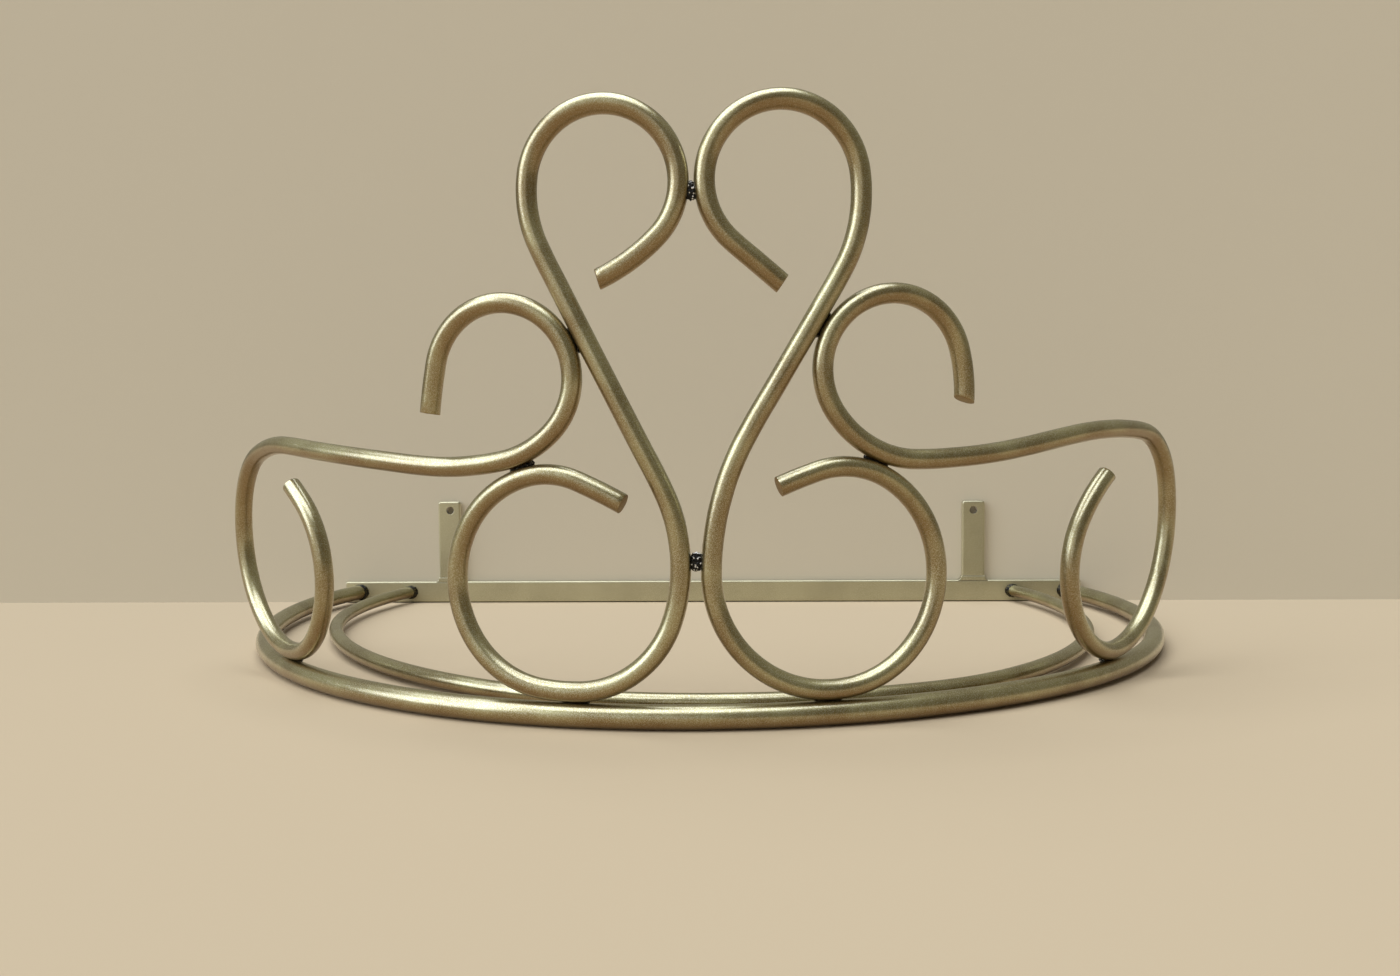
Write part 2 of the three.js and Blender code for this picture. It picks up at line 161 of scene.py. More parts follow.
# The lamps: the direction that each shines from, its breadth in degrees, and its colour.
LAMPS = {
    "ceiling": ((-0.2, -0.1, 0.95), 66, (0.95, 1.0, 1.08)),
    "window": ((-0.8, -0.4, 0.42), 40, (0.93, 1.0, 1.1)),
    "doorway": ((-0.35, -0.9, 0.2), 50, (1.0, 0.98, 0.95)),
}
SKY_TINT = (1.0, 0.98, 0.95)

# How dim the mirrored room is at its darkest, and how it brightens to the right, the back and up.
ROOM_DIMMEST = 0.6
ROOM_SLOPE = 0.75
ROOM_LEANING = (-0.2, 0.8, 0.35)
# The width of the floor and the backdrop in metres, how far the backdrop stands behind the wall
# bar, and the width of the camera's frame in millimetres.
BOARD_SIZE = 40
BACKDROP_GAP = 0.5 * MM
FILM_WIDTH = 36


class Wire:
    """A number that runs between shader nodes and takes part in Python's arithmetic."""

    def __init__(self, tree, socket):
        self.tree = tree
        self.socket = socket

    def calculate(self, operation, *values):
        node = self.tree.nodes.new("ShaderNodeMath")
        node.operation = operation
        for slot, value in zip(node.inputs, values):
            if isinstance(value, Wire):
                self.tree.links.new(value.socket, slot)
            else:
                slot.default_value = value
        return Wire(self.tree, node.outputs[0])

    def __add__(self, other):
        return self.calculate("ADD", self, other)

    def __radd__(self, other):
        return self.calculate("ADD", other, self)

    def __sub__(self, other):
        return self.calculate("SUBTRACT", self, other)

    def __rsub__(self, other):
        return self.calculate("SUBTRACT", other, self)

    def __mul__(self, other):
        return self.calculate("MULTIPLY", self, other)

    def __rmul__(self, other):
        return self.calculate("MULTIPLY", other, self)

    def clamped(self):
        return self.calculate("MINIMUM", self.calculate("MAXIMUM", self, 0.0), 1.0)


class Graph:
    """A tree of shader nodes under construction."""

    def __init__(self, tree):
        self.tree = tree

    def node(self, kind, settings=None, **values):
        node = self.tree.nodes.new(kind)
        for key, value in (settings or {}).items():
            setattr(node, key, value)
        for key, value in values.items():
            self.feed(node.inputs[key.replace("_", " ")], value)
        return node

    def feed(self, slot, value):
        if isinstance(value, Wire):
            self.tree.links.new(value.socket, slot)
        elif isinstance(value, bpy.types.NodeSocket):
            self.tree.links.new(value, slot)
        else:
            slot.default_value = value

    def axes(self, vector):
        """The three parts of a vector."""
        parts = self.node("ShaderNodeSeparateXYZ", Vector=vector)
        return [Wire(self.tree, parts.outputs[axis]) for axis in "XYZ"]

    def mix(self, factor, first, second):
        """A colour between two, which are sockets 6 and 7 of a mix of colours."""
        node = self.node("ShaderNodeMix", {"data_type": "RGBA"}, Factor=factor)
        self.feed(node.inputs[6], first)
        self.feed(node.inputs[7], second)
        return node.outputs[2]

    def blend(self, factor, first, second, output):
        """Sends a mix of two shading nodes to the tree's output node."""
        mix = self.node("ShaderNodeMixShader", Fac=factor)
        self.tree.links.new(first.outputs[0], mix.inputs[1])
        self.tree.links.new(second.outputs[0], mix.inputs[2])
        self.tree.links.new(mix.outputs["Shader"], self.tree.nodes[output].inputs["Surface"])


class Finish(Graph):
    """A material under construction."""

    def __init__(self, name):
        self.material = bpy.data.materials.new(name)
        self.material.use_nodes = True
        super().__init__(self.material.node_tree)
        self.shader = self.tree.nodes["Principled BSDF"]
        self.place = self.node("ShaderNodeTexCoord").outputs["Object"]

    def noise(self, size, detail, roughness=0.5, place=None):
        node = self.node("ShaderNodeTexNoise", Vector=place or self.place, Scale=1.0 / size,
                         Detail=detail, Roughness=roughness)
        return Wire(self.tree, node.outputs["Fac"])

    def cells(self, size):
        node = self.node("ShaderNodeTexVoronoi", Vector=self.place, Scale=1.0 / size)
        return Wire(self.tree, node.outputs["Distance"])

    def upward(self):
        """How far the surface faces up, from -1 to 1."""
        return self.axes(self.node("ShaderNodeNewGeometry").outputs["Normal"])[2]

    def bare_and_shade_mark(self):
        """Bareness at a sawn end, painted shade on a hole's wall, and 0 on a piece without marks.
        """
        node = self.node("ShaderNodeAttribute", {"attribute_name": BARE_END_AND_HOLE_SHADE})
        return Wire(self.tree, node.outputs["Fac"])

    def ramp(self, value, none, full):
        """0 where the value is none, 1 where it is full, smooth between and level beyond."""
        node = self.node("ShaderNodeMapRange", {"interpolation_type": "SMOOTHSTEP"},
                         Value=value, From_Min=none, From_Max=full)
        return Wire(self.tree, node.outputs["Result"])

    def bump(self, height, depth):
        node = self.node("ShaderNodeBump", Height=height, Distance=depth, Strength=1.0)
        self.vary("Normal", node.outputs["Normal"])

    def vary(self, name, value):
        """Gives the shader an input that differs over the surface."""
        self.feed(self.shader.inputs[name], value)

    def fix(self, **values):
        """Gives the shader inputs that are the same all over the surface."""
        for name, value in values.items():
            self.shader.inputs[name.replace("_", " ")].default_value = value


def opaque(colour):
    return (colour[0], colour[1], colour[2], 1.0)


def shaded(colour, share):
    return opaque([share * part for part in colour])


def rod_paint(name, colours):
    """Satin gold paint on round bar: pale flakes, with painted shade and floor reflection below."""
    finish = Finish(name)
    up = finish.upward()
    clouds = finish.noise(30 * MM, detail=4.0)
    flakes = finish.noise(FLAKE_SIZE, detail=2.0, roughness=0.7)
    peel = finish.noise(1.8 * MM, detail=2.0)
    grains = 1.0 - finish.ramp(finish.cells(12 * MM), 0.03, 0.07)
    sawn = finish.bare_and_shade_mark()
    # Painted shade and brown floor reflection on undersides; sawn ends are bare brown paint.
    under_shade_and_bare = (finish.ramp(up + 0.5 * clouds, 0.85, -0.3) + sawn).clamped()
    gold = finish.mix(finish.ramp(clouds, 0.35, 0.65), opaque(colours.shade), opaque(colours.gold))
    gold_with_shade_and_bare = finish.mix(under_shade_and_bare * 0.8, gold, opaque(colours.bare_and_shade_brown))
    flake = finish.ramp(flakes, 0.46, 0.64) * (0.6 - 0.48 * under_shade_and_bare)
    finish.vary("Base Color", finish.mix(flake, gold_with_shade_and_bare, opaque(colours.glint)))
    finish.vary("Roughness", (0.28 + 0.08 * clouds - 0.04 * flake + 0.3 * sawn).clamped())
    finish.vary("Metallic", (0.95 - 0.8 * sawn).clamped())
    finish.vary("Coat Weight", (0.9 - 0.95 * sawn - 0.5 * under_shade_and_bare).clamped())
    finish.fix(Coat_IOR=2.0, Coat_Roughness=0.22)
    finish.bump(peel * 0.16 + flakes * 0.3 + grains, 0.12 * MM)
    return finish.material


def flat_paint(name, colours):
    """The same paint on flat stock, duller and a little greener, with faint mill lines along it."""
    finish = Finish(name)
    sawn = finish.bare_and_shade_mark()
    # Painted shade: faces turned down and the walls of holes darken to a share of the brown.
    under = (finish.ramp(finish.upward(), -0.2, -0.7) + sawn).clamped()
    clouds = finish.noise(45 * MM, detail=3.0)
    flakes = finish.noise(FLAKE_SIZE, detail=2.0, roughness=0.7)
    stretch = finish.node("ShaderNodeMapping", Vector=finish.place, Scale=(0.04, 1.0, 1.0))
    line = finish.noise(1.4 * MM, detail=2.0, place=stretch.outputs["Vector"])
    pale = opaque(colours.flat_gold)
    tone = finish.mix(finish.ramp(clouds, 0.3, 0.7), opaque(colours.flat_shade), pale)
    flaked = finish.mix(finish.ramp(flakes, 0.48, 0.66) * 0.4, tone, opaque(colours.glint))
    finish.vary("Base Color", finish.mix(under, flaked, shaded(colours.bare_and_shade_brown, UNDER_SHADE_SHARE)))
    finish.vary("Roughness", (0.3 + 0.1 * clouds + 0.06 * line).clamped())
    finish.fix(Metallic=0.85, Coat_Weight=0.5, Coat_Roughness=0.25)
    finish.bump(line * 0.35 + flakes * 0.12, 0.08 * MM)
    return finish.material


def weld_metal_in_shade(name, dark, light, sparkle, top_highlight=0.0):
    """Weld metal: scaly and half glossy, with spatter and painted glints, and a painted highlight
    on top.
    """
    finish = Finish(name)
    # Painted highlight: faces turned up go pale, by the share given for the top.
    top = finish.ramp(finish.upward(), 0.45, 0.8) * top_highlight
    scale = finish.noise(2.2 * MM, detail=5.0, roughness=0.65)
    grain = finish.noise(0.6 * MM, detail=2.0)
    # Pale grains: partly spatter, partly painted glints.
    sparks = 1.0 - finish.ramp(finish.cells(1.7 * MM), 0.2, 0.3)
    tone = finish.mix(finish.ramp(scale, 0.45, 0.66), dark, light)
    bright = (sparks * sparkle + top).clamped()
    finish.vary("Base Color", finish.mix(bright, tone, opaque(SPATTER_AND_HIGHLIGHT)))
    finish.vary("Roughness", (0.06 + 0.35 * grain).clamped())
    finish.fix(Metallic=0.3, Specular_IOR_Level=0.3)
    finish.bump(scale + grain * 0.4 + sparks * 0.3, 0.35 * MM)
    return finish.material


def plain_board(name, colour):
    """A plain pale board with hardly any cloud in it."""
    finish = Finish(name)
    clouds = finish.noise(0.6, detail=2.0)
    finish.vary("Base Color", finish.mix(clouds, shaded(colour, 0.97), opaque(colour)))
    finish.fix(Roughness=0.75, Specular_IOR_Level=0.2)
    return finish


def front_only(finish):
    """Lets a backdrop be seen from its front, and be looked and lit through from anywhere else."""
    front = 1.0 - Wire(finish.tree, finish.node("ShaderNodeNewGeometry").outputs["Backfacing"])
    seen = Wire(finish.tree, finish.node("ShaderNodeLightPath").outputs["Is Camera Ray"])
    clear = finish.node("ShaderNodeBsdfTransparent")
    finish.blend(front * seen, clear, finish.shader, "Material Output")


def deselect_all():
    if bpy.context.object and bpy.context.object.mode != "OBJECT":
        bpy.ops.object.mode_set(mode="OBJECT")
    bpy.ops.object.select_all(action="DESELECT")


def work_on(piece):
    deselect_all()
    piece.select_set(True)
    bpy.context.view_layer.objects.active = piece


def bevel(piece, size, segments, wanted):
    """Rounds the edges for which wanted(first corner, second corner, face angle) is true."""
    bpy.ops.object.mode_set(mode="EDIT")
    bpy.ops.mesh.select_mode(type="EDGE")
    bpy.ops.mesh.select_all(action="DESELECT")
    mesh = bmesh.from_edit_mesh(piece.data)
    for edge in mesh.edges:
        if wanted(edge.verts[0].co, edge.verts[1].co, edge.calc_face_angle(0.0)):
            edge.select_set(True)
    bmesh.update_edit_mesh(piece.data)
    bpy.ops.mesh.bevel(offset=size, segments=segments, affect="EDGES")
    bpy.ops.object.mode_set(mode="OBJECT")


def settle(piece, name, node, material):
    """Names a finished piece, gives it its finish and hands it to the frame."""
    piece.name = name
    piece.data.name = name
    piece.data.materials.clear()
    piece.data.materials.append(material)
    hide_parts(node)
    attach(piece, BODY)


def stations(node):
    """Centres of a bar's sections, from one end of its solid to the other, and its radius.

    The solid's sections are polygons, and the radius is that of a circle with the same area.
    """
    mesh = bmesh.new()
    mesh.from_mesh(frame["nodes"][node].data)
    bmesh.ops.remove_doubles(mesh, verts=mesh.verts, dist=2 * HAIR)
    rims = [edge for edge in mesh.edges if edge.calc_face_angle(0.0) > CORNER]
    layer = {rims[0].verts[0]}
    while True:
        joined = layer | {vert for edge in rims if layer & set(edge.verts) for vert in edge.verts}
        if len(joined) == len(layer):
            break
        layer = joined
    seen = set(layer)
    centres = []
    sizes = []
    while layer:
        centre = sum((vert.co for vert in layer), Vector()) / len(layer)
        centres.append(centre.copy())
        sizes.append((len(layer), sum((vert.co - centre).length for vert in layer) / len(layer)))
        layer = {edge.other_vert(vert) for vert in layer for edge in vert.link_edges} - seen
        seen |= layer
    mesh.free()
    sides, corner = sizes[len(sizes) // 2]
    step = 2 * math.pi / sides
    return centres, corner / math.sqrt(step / math.sin(step))


def run_on(centres, length):
    """Carries the last bend of a row of centres on by a length."""
    first = centres[-2] - centres[-3]
    last = centres[-1] - centres[-2]
    turn = first.rotation_difference(last)
    point = centres[-1].copy()
    step = last.copy()
    added = []
    while length > HAIR:
        step = turn @ step
        step *= min(1.0, length / step.length)
        point = point + step
        added.append(point.copy())
        length -= step.length
    return centres + added


def swept_bar(centres, radius, sizes):
    """A round bar along the centres, as a mesh with flat ends."""
    deselect_all()
    bpy.ops.curve.primitive_bezier_curve_add(enter_editmode=False, location=(0, 0, 0))
    bar = bpy.context.object
    spline = bar.data.splines[0]
    spline.bezier_points.add(len(centres) - len(spline.bezier_points))
    for point, centre in zip(spline.bezier_points, centres):
        point.co = centre
    bar.data.dimensions = "3D"
    bar.data.twist_mode = "MINIMUM"
    bar.data.resolution_u = sizes.rod_smoothness
    bpy.ops.object.mode_set(mode="EDIT")
    bpy.ops.curve.select_all(action="SELECT")
    bpy.ops.curve.handle_type_set(type="AUTOMATIC")
    bpy.ops.object.mode_set(mode="OBJECT")
    bar.data.bevel_depth = radius
    bar.data.bevel_resolution = (sizes.rod_sides - 4) // 2
    bar.data.use_fill_caps = True
    bpy.ops.object.convert(target="MESH")
    bar = bpy.context.object
    bpy.ops.object.mode_set(mode="EDIT")
    bpy.ops.mesh.select_all(action="SELECT")
    bpy.ops.mesh.remove_doubles(threshold=HAIR)
    bpy.ops.mesh.normals_make_consistent(inside=False)
    bpy.ops.object.mode_set(mode="OBJECT")
    return bar


def trim_behind(piece, y):
    """Cuts off what lies behind a plane parallel to the wall, and closes the cut."""
    work_on(piece)
    bpy.ops.object.mode_set(mode="EDIT")
    bpy.ops.mesh.select_all(action="SELECT")
    bpy.ops.mesh.bisect(plane_co=(0, y, 0), plane_no=(0, 1, 0), use_fill=True, clear_outer=True)
    bpy.ops.object.mode_set(mode="OBJECT")


def saw_end(piece, middle, ahead, lean, skew, reach):
    """Saws a bar's end off, and returns the direction that the cut faces.

    The cut is square to the bar, but for a lean to the room and a skew sideways in degrees.
    """
    room = (Vector((0, -1, 0)) + ahead * ahead.y).normalized()
    aside = ahead.cross(room)
    face = ahead + room * math.tan(math.radians(lean)) + aside * math.tan(math.radians(skew))
    face.normalize()
    work_on(piece)
    bpy.ops.object.mode_set(mode="EDIT")
    bpy.ops.mesh.select_mode(type="FACE")
    bpy.ops.mesh.select_all(action="DESELECT")
    mesh = bmesh.from_edit_mesh(piece.data)
    for part in mesh.faces:
        part.select_set((part.calc_center_median() - middle).length < reach)
    bmesh.update_edit_mesh(piece.data)
    bpy.ops.mesh.bisect(plane_co=middle, plane_no=face, use_fill=True, clear_outer=True)
    bpy.ops.mesh.select_mode(type="VERT")
    bpy.ops.mesh.select_all(action="DESELECT")
    mesh = bmesh.from_edit_mesh(piece.data)
    for corner in mesh.verts:
        corner.select_set((corner.co - middle).length < reach)
    bmesh.update_edit_mesh(piece.data)
    bpy.ops.mesh.dissolve_degenerate(threshold=SAW_CRUMB)
    bpy.ops.object.mode_set(mode="OBJECT")
    return face


def mark_faces(piece, bareness, wanted):
    """Marks the faces for which wanted(face) is true, as bare of paint or as painted shade."""
    marks = piece.data.attributes.new(BARE_END_AND_HOLE_SHADE, "FLOAT", "FACE")
    for part in piece.data.polygons:
        if wanted(part):
            marks.data[part.index].value = bareness


def round_rims(piece, size):
    """Breaks the sharp rims of a bar's cut ends, as a file does."""
    work_on(piece)
    bevel(piece, size, 2, lambda first, second, angle: angle > SAWN_RIM)
    bpy.ops.object.shade_smooth_by_angle(angle=SHARP)


def block(node, spread=0.0):
    """A block that fills a node's box, and stands out sideways by a spread."""
    low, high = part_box(node)
    low.x -= spread
    high.x += spread
    deselect_all()
    bpy.ops.mesh.primitive_cube_add(size=1, location=(low + high) / 2, scale=high - low)
    bpy.ops.object.transform_apply(location=True, rotation=True, scale=True)
    return bpy.context.object, low, high


def ring_end(node):
    """The middle of the ring's end that a collar goes round."""
    low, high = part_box(node)
    ring = "outer_ring" if "outer" in node else "inner_ring"
    centres, radius = stations(ring)
    return min((centres[0], centres[-1]), key=lambda centre: abs(centre.x - (low.x + high.x) / 2))


def weld_lump(node, grain, swell, rough, wave, centre=None, scale=(1, 1, 1), shift=(0, 0, 0)):
    """A weld, grown from its solid until it meets the bars, with a rippled and pitted skin."""
    if centre is None:
        centre = sum(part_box(node), Vector()) / 2
    deselect_all()
    lump = bpy.data.objects.new(node + "_copy", frame["nodes"][node].data.copy())
    bpy.context.scene.collection.objects.link(lump)
    work_on(lump)
    bpy.ops.object.mode_set(mode="EDIT")
    bpy.ops.mesh.select_all(action="SELECT")
    bpy.ops.mesh.remove_doubles(threshold=HAIR / 2)
    bpy.ops.transform.resize(value=scale, center_override=centre)
    bpy.ops.transform.translate(value=shift)
    bpy.ops.object.mode_set(mode="OBJECT")
    grow = lump.modifiers.new("grow", "DISPLACE")
    grow.strength = swell
    grow.mid_level = 0.0
    mesh = lump.modifiers.new("mesh", "REMESH")
    mesh.mode = "VOXEL"
    mesh.voxel_size = grain
    soften = lump.modifiers.new("soften", "SMOOTH")
    soften.iterations = WELD_SMOOTHING
    skin = bpy.data.textures.new(node + "_skin", "CLOUDS")
    skin.noise_scale = wave
    skin.noise_depth = 3
    roughen = lump.modifiers.new("roughen", "DISPLACE")
    roughen.texture = skin
    roughen.texture_coords = "LOCAL"
    roughen.strength = rough
    roughen.mid_level = 0.5
    for modifier in (grow, mesh, soften, roughen):
        bpy.ops.object.modifier_apply(modifier=modifier.name)
    bpy.data.textures.remove(skin)
    bpy.ops.object.shade_smooth()
    return lump


def lay_bead(node, grain, look, material, **placed):
    """Puts a bead with the look of its kind in the place of a weld's solid."""
    bead = weld_lump(node, grain, **look, **placed)
    settle(bead, node + "_bead", node, material)


def broad_light(name, source, breadth, strength, colour):
    """Light from a wide patch of a far wall or ceiling in the direction of source."""
    lamp = bpy.data.lights.new(name, "SUN")
    lamp.angle = math.radians(breadth)
    lamp.energy = strength
    lamp.color = colour
    holder = bpy.data.objects.new(name, lamp)
    holder.location = source
    holder.rotation_euler = Vector(source).to_track_quat("Z", "Y").to_euler()
    bpy.context.scene.collection.objects.link(holder)


def room_light(sky, colour):
    """Even light for the object, and a room for shiny paint to mirror.

    The room is dimmer in front, on the right and below, as it is away from the window.
    """
    world = bpy.data.worlds.new("room")
    bpy.context.scene.world = world
    world.use_nodes = True
    graph = Graph(world.node_tree)
    light = graph.tree.nodes["Background"]
    light.inputs["Color"].default_value = opaque(SKY_TINT)
    light.inputs["Strength"].default_value = sky
    parts = graph.axes(graph.node("ShaderNodeTexCoord").outputs["Generated"])
    leaning = sum(part * share for part, share in zip(parts, ROOM_LEANING))
    brightness = (0.5 + ROOM_SLOPE * leaning).clamped()
    shade = graph.mix(brightness, shaded(colour, ROOM_DIMMEST), opaque(colour))
    seen = graph.node("ShaderNodeBackground", Color=shade, Strength=1.0)
    path = graph.node("ShaderNodeLightPath")
    kinds = ("Is Camera Ray", "Is Glossy Ray", "Is Transmission Ray")
    rays = sum(Wire(graph.tree, path.outputs[kind]) for kind in kinds)
    graph.blend(rays.clamped(), light, seen, "World Output")


def colour_setting(name, description, default):
    return bpy.props.FloatVectorProperty(
        name=name, description=description, subtype="COLOR", size=3, default=default, min=0, max=1)


def length_setting(name, description, default):
    return bpy.props.FloatProperty(
        name=name, description=description, unit="LENGTH", default=default * MM)


def angle_setting(name, description, default):
    return bpy.props.FloatProperty(
        name=name, description=description, subtype="ANGLE", default=default)


def number_setting(name, description, default):
    return bpy.props.FloatProperty(name=name, description=description, default=default)


class CrownColours(bpy.types.PropertyGroup):
    gold: colour_setting("Gold", "Paint where it lies thick", (0.42, 0.385, 0.17))
    shade: colour_setting("Shade", "Browner clouds in the paint", (0.285, 0.235, 0.08))
    # Brown of bare paint at sawn ends, also painted as shade under the bars and in the tabs' holes.
    bare_and_shade_brown: colour_setting("Binder", "Brown of the paint where it lies thin", (0.18, 0.088, 0.018))
    glint: colour_setting("Glint", "Metal flakes in the paint", (0.88, 0.87, 0.68))
    flat_gold: colour_setting("Flat gold", "Paint on the flat stock", (0.5, 0.47, 0.31))
    flat_shade: colour_setting("Flat shade", "Darker clouds on the flat stock", (0.42, 0.39, 0.255))
    # Weld metal made near black, partly painted shade of the crevices that the beads sit in.
    weld_and_crevice_shade: colour_setting("Burnt weld", "Bare weld metal", (0.005, 0.0045, 0.004))
    floor: colour_setting("Floor", "Colour of the studio floor", (0.652, 0.522, 0.345))
    wall: colour_setting("Wall", "Colour of the backdrop", (0.684, 0.615, 0.475))
    room: colour_setting("Room", "What shiny paint mirrors of the room", (0.28, 0.25, 0.18))


class CrownSizes(bpy.types.PropertyGroup):
    rod_sides: bpy.props.IntProperty(
        name="Bar sides", description="Facets round a bar", default=28, min=8, max=64)
    rod_smoothness: bpy.props.IntProperty(
        name="Bar smoothness", description="Steps from one section to the next", default=4, min=1,
        max=12)
    end_rounding: length_setting("End rounding", "Filed edge of a cut bar", 0.35)
    stock_edge: length_setting("Stock edge", "Rounded edge of the flat stock", 1.5)
    stock_end: length_setting("Stock end", "Filed edge of the cut flat stock", 0.4)
    tab_corner: length_setting("Tab corner", "Rounding of a tab's top corners", 2.5)
    tab_spread: length_setting("Tab spread", "How far a hammered tab spreads to each side", 0.4)
    hole: length_setting("Screw hole", "Diameter of a tab's hole", 6.5)
    hole_edge: length_setting("Hole edge", "Broken edge of a tab's hole", 0.35)
    weld_grain: length_setting("Weld grain", "Spacing of the points that shape a weld", 0.35)


class CrownStudio(bpy.types.PropertyGroup):
    eye: bpy.props.FloatVectorProperty(
        name="Eye", description="Place of the camera", subtype="TRANSLATION", unit="LENGTH", size=3,
        default=(30.76 * MM, -956.94 * MM, 142.58 * MM))
    yaw: angle_setting("Yaw", "Turn of the camera to the left", 0.0403)
    pitch: angle_setting("Pitch", "Tilt of the camera down", 0.0527)
    roll: angle_setting("Roll", "Lean of the camera", -0.0089)
    lens: number_setting("Lens", "Focal length in millimetres on a 36 mm frame", 27.643)
    ceiling: number_setting("Ceiling light", "Strength of the broad light overhead", 2.45)
    window: number_setting("Window light", "Strength of the broad light from the left", 1.15)
    doorway: number_setting("Doorway light", "Strength of the light from the room in front", 0.3)
    sky: number_setting("Sky", "Even light of the room", 0.12)


class CROWN_OT_studio(bpy.types.Operator):
    """Set up the floor, the lamps and the camera"""

    bl_idname = "crown.studio"
    bl_label = "Studio"

    def execute(self, context):
        studio = context.scene.crown_studio
        colours = context.scene.crown_colours
        ground = cad_box[0][2]
        self.lay_board("floor", plain_board("studio_floor", colours.floor), (0, 0, ground), 0)
        wall = plain_board("studio_wall", colours.wall)
        front_only(wall)
        self.lay_board("backdrop", wall, (0, BACKDROP_GAP, 0), math.pi / 2)
        room_light(studio.sky, colours.room)
        for name, (source, breadth, colour) in LAMPS.items():
            broad_light(name + "_light", source, breadth, getattr(studio, name), colour)
        self.place_camera(context, studio)
        context.scene.view_settings.view_transform = "Standard"
        return {"FINISHED"}

    def lay_board(self, name, finish, place, tilt):
        deselect_all()
        bpy.ops.mesh.primitive_plane_add(size=BOARD_SIZE, location=place, rotation=(tilt, 0, 0))
        board = bpy.context.object
        board.name = name
        bpy.ops.object.transform_apply(location=True, rotation=True, scale=True)
        board.data.materials.append(finish.material)

    def place_camera(self, context, studio):
        ahead = Vector((-math.sin(studio.yaw) * math.cos(studio.pitch),
                        math.cos(studio.yaw) * math.cos(studio.pitch),
                        -math.sin(studio.pitch)))
        level = Vector((math.cos(studio.yaw), math.sin(studio.yaw), 0))
        upright = level.cross(ahead)
        right = level * math.cos(studio.roll) + upright * math.sin(studio.roll)
        up = upright * math.cos(studio.roll) - level * math.sin(studio.roll)
        lens = bpy.data.cameras.new("camera")
        lens.sensor_fit = "HORIZONTAL"
        lens.sensor_width = FILM_WIDTH
        lens.lens = studio.lens
        lens.clip_start = 10 * MM
        camera = bpy.data.objects.new("camera", lens)
        context.scene.collection.objects.link(camera)
        turned = Matrix((right, up, -ahead)).transposed().to_4x4()
        camera.matrix_world = Matrix.Translation(Vector(studio.eye)) @ turned
        context.scene.camera = camera


class CROWN_OT_rings(bpy.types.Operator):
    """Bend the two rings and cut their ends to the wall bar"""

    bl_idname = "crown.rings"
    bl_label = "Rings"

    def execute(self, context):
        sizes = context.scene.crown_sizes
        paint = rod_paint("ring_paint", context.scene.crown_colours)
        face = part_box("back_bar")[0].y
        for node in RINGS:
            centres, radius = stations(node)
            centres = centres[CUT_SECTIONS:-CUT_SECTIONS]
            spare = RING_SPARE * (centres[1] - centres[0]).length
            longer = run_on(centres, spare)
            longer = run_on(longer[::-1], spare)
            ring = swept_bar(longer, radius, sizes)
            trim_behind(ring, face)
            work_on(ring)
            bpy.ops.object.shade_smooth_by_angle(angle=SHARP)
            settle(ring, node + "_bar", node, paint)
        return {"FINISHED"}


class CROWN_OT_scrolls(bpy.types.Operator):
    """Bend the four scrolls and file their ends"""

    bl_idname = "crown.scrolls"
    bl_label = "Scrolls"

    def execute(self, context):
        sizes = context.scene.crown_sizes
        paint = rod_paint("scroll_paint", context.scene.crown_colours)
        for node, ends in SCROLLS.items():
            centres, radius = stations(node)
            if centres[0].z < centres[-1].z:
                centres.reverse()
            spare = SAW_SPARE * radius
            longer = run_on(centres, ends[1][0] * MM + spare)
            longer = run_on(longer[::-1], ends[0][0] * MM + spare)
            scroll = swept_bar(longer, radius, sizes)
            cuts = []
            for chain, (beyond, lean, skew) in zip((centres[::-1], centres), ends):
                ahead = (chain[-1] - chain[-2]).normalized()
                middle = chain[-1] + ahead * beyond * MM
                face = saw_end(scroll, middle, ahead, lean, skew, SAW_REACH * radius)
                cuts.append((middle, face))
            round_rims(scroll, sizes.end_rounding)
            mark_faces(scroll, END_BARE, lambda part: any(
                part.normal.dot(face) > 0.5 and (part.center - middle).length < CUT_REACH * radius
                for middle, face in cuts))
            settle(scroll, node + "_bar", node, paint)
        return {"FINISHED"}


class CROWN_OT_wall_bar(bpy.types.Operator):
    """Shape the flat bar that lies on the wall"""

    bl_idname = "crown.wall_bar"
    bl_label = "Wall bar"

    def execute(self, context):
        sizes = context.scene.crown_sizes
        bar, low, high = block("back_bar")
        half = (high.x - low.x) / 2
        bevel(bar, sizes.stock_edge, 5, lambda first, second, angle: abs(first.x - second.x) > half)
        bevel(bar, sizes.stock_end, 2, lambda first, second, angle:
              abs(first.x - second.x) < MM and angle > CORNER)
        bpy.ops.object.shade_flat()
        paint = flat_paint("bar_paint", context.scene.crown_colours)
        settle(bar, "wall_bar", "back_bar", paint)
        return {"FINISHED"}


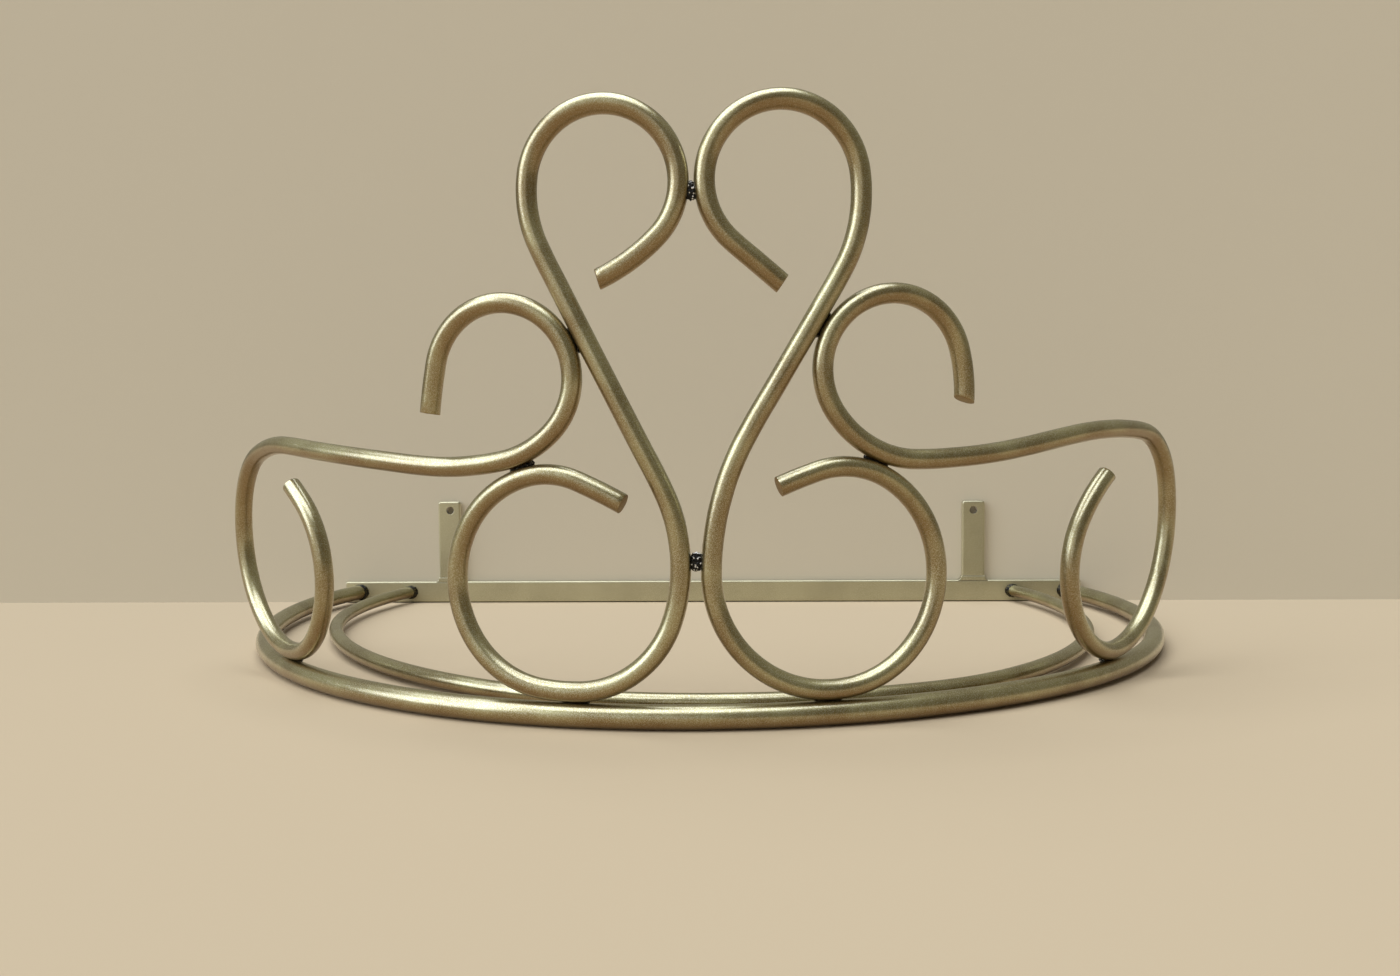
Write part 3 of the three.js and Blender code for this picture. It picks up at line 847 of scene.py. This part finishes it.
class CROWN_OT_tabs(bpy.types.Operator):
    """Shape and drill the two hanging tabs"""

    bl_idname = "crown.tabs"
    bl_label = "Hanging tabs"

    def execute(self, context):
        sizes = context.scene.crown_sizes
        paint = flat_paint("tab_paint", context.scene.crown_colours)
        openings = {item["name"]: item["box_m"] for item in frame["record"]["physics"]["openings"]}
        for node, opening in TABS.items():
            tab, low, high = block(node, sizes.tab_spread)
            bevel(tab, sizes.tab_corner, 6, lambda first, second, angle:
                  min(first.z, second.z) > high.z - MM and abs(first.x - second.x) < MM)
            bevel(tab, sizes.stock_edge, 4, lambda first, second, angle:
                  abs(first.y - second.y) < MM and angle > CORNER)
            middle = sum((Vector(corner) for corner in openings[opening]), Vector()) / 2
            middle.y = (low.y + high.y) / 2
            self.drill(tab, middle, sizes)
            settle(tab, node + "_plate", node, paint)
        return {"FINISHED"}

    def drill(self, tab, middle, sizes):
        """Drills a tab through, breaks the hole's edges and marks its wall for painted shade."""
        radius = sizes.hole / 2

        def away(place):
            return math.hypot(place.x - middle.x, place.z - middle.z)

        deselect_all()
        bpy.ops.mesh.primitive_cylinder_add(
            vertices=DRILL_SIDES, radius=radius, depth=DRILL_LENGTH, location=middle,
            rotation=(math.pi / 2, 0, 0))
        bit = bpy.context.object
        work_on(tab)
        cut = tab.modifiers.new("hole", "BOOLEAN")
        cut.operation = "DIFFERENCE"
        cut.object = bit
        bpy.ops.object.modifier_apply(modifier=cut.name)
        bpy.data.objects.remove(bit, do_unlink=True)
        bevel(tab, sizes.hole_edge, 2, lambda first, second, angle:
              angle > CORNER and away(first) < radius + 0.2 * MM)
        bpy.ops.object.shade_flat()
        # The hole's wall gets painted shade.
        mark_faces(tab, HOLE_SHADE, lambda part:
                  away(part.center) < radius + 0.1 * MM and abs(part.normal.y) < 0.5)


class CROWN_OT_welds(bpy.types.Operator):
    """Lay the weld metal at every joint"""

    bl_idname = "crown.welds"
    bl_label = "Welds"

    def execute(self, context):
        colours = context.scene.crown_colours
        grain = context.scene.crown_sizes.weld_grain
        dark = opaque(colours.weld_and_crevice_shade)
        # Weld beads near black: weld metal, and painted shade of the crevices between the bars.
        weld_and_crevice_shade = weld_metal_in_shade("burnt_weld", dark, shaded(colours.weld_and_crevice_shade, 3), 0.9, top_highlight=0.8)
        seam_shade = weld_metal_in_shade("sooty_seam", dark, shaded(colours.weld_and_crevice_shade, 2), 0.25)
        # Collars darkened as painted shade: the dark crescent where each ring meets the wall bar.
        collar_shade = weld_metal_in_shade("smoked_collar", dark, shaded(colours.shade, COLLAR_SHADE_SHARE), 0.0)
        painted = flat_paint("tab_weld_paint", colours)
        for node, rise in PLUGS.items():
            lay_bead(node, grain, PLUG_LOOK, weld_and_crevice_shade, shift=(0, 0, rise))
        for node in SEAMS:
            lay_bead(node, grain, SEAM_LOOK, seam_shade)
        for node in FEET:
            lay_bead(node, grain, FOOT_LOOK, weld_and_crevice_shade)
        for node in COLLARS:
            lay_bead(node, grain, COLLAR_LOOK, collar_shade, centre=ring_end(node))
        for node in TAB_WELDS:
            lay_bead(node, grain, TAB_WELD_LOOK, painted)
        return {"FINISHED"}


class CROWN_PT_panel(bpy.types.Panel):
    """Lists the crown's pieces, sizes and colours"""

    bl_idname = "CROWN_PT_panel"
    bl_label = "Bed Crown"
    bl_space_type = "VIEW_3D"
    bl_region_type = "UI"
    bl_category = "Bed Crown"

    def draw(self, context):
        scene = context.scene
        for operator in OPERATORS:
            self.layout.operator(operator.bl_idname)
        for group in (scene.crown_sizes, scene.crown_colours, scene.crown_studio):
            box = self.layout.box()
            for name in group.__annotations__:
                box.prop(group, name)


OPERATORS = (
    CROWN_OT_studio,
    CROWN_OT_rings,
    CROWN_OT_scrolls,
    CROWN_OT_wall_bar,
    CROWN_OT_tabs,
    CROWN_OT_welds,
)
CLASSES = (CrownColours, CrownSizes, CrownStudio, *OPERATORS, CROWN_PT_panel)


def register():
    for item in CLASSES:
        bpy.utils.register_class(item)
    bpy.types.Scene.crown_colours = bpy.props.PointerProperty(type=CrownColours)
    bpy.types.Scene.crown_sizes = bpy.props.PointerProperty(type=CrownSizes)
    bpy.types.Scene.crown_studio = bpy.props.PointerProperty(type=CrownStudio)


def unregister():
    del bpy.types.Scene.crown_studio
    del bpy.types.Scene.crown_sizes
    del bpy.types.Scene.crown_colours
    for item in reversed(CLASSES):
        bpy.utils.unregister_class(item)


def main():
    register()
    bpy.ops.crown.studio()
    bpy.ops.crown.rings()
    bpy.ops.crown.scrolls()
    bpy.ops.crown.wall_bar()
    bpy.ops.crown.tabs()
    bpy.ops.crown.welds()


if __name__ == "__main__":
    main()
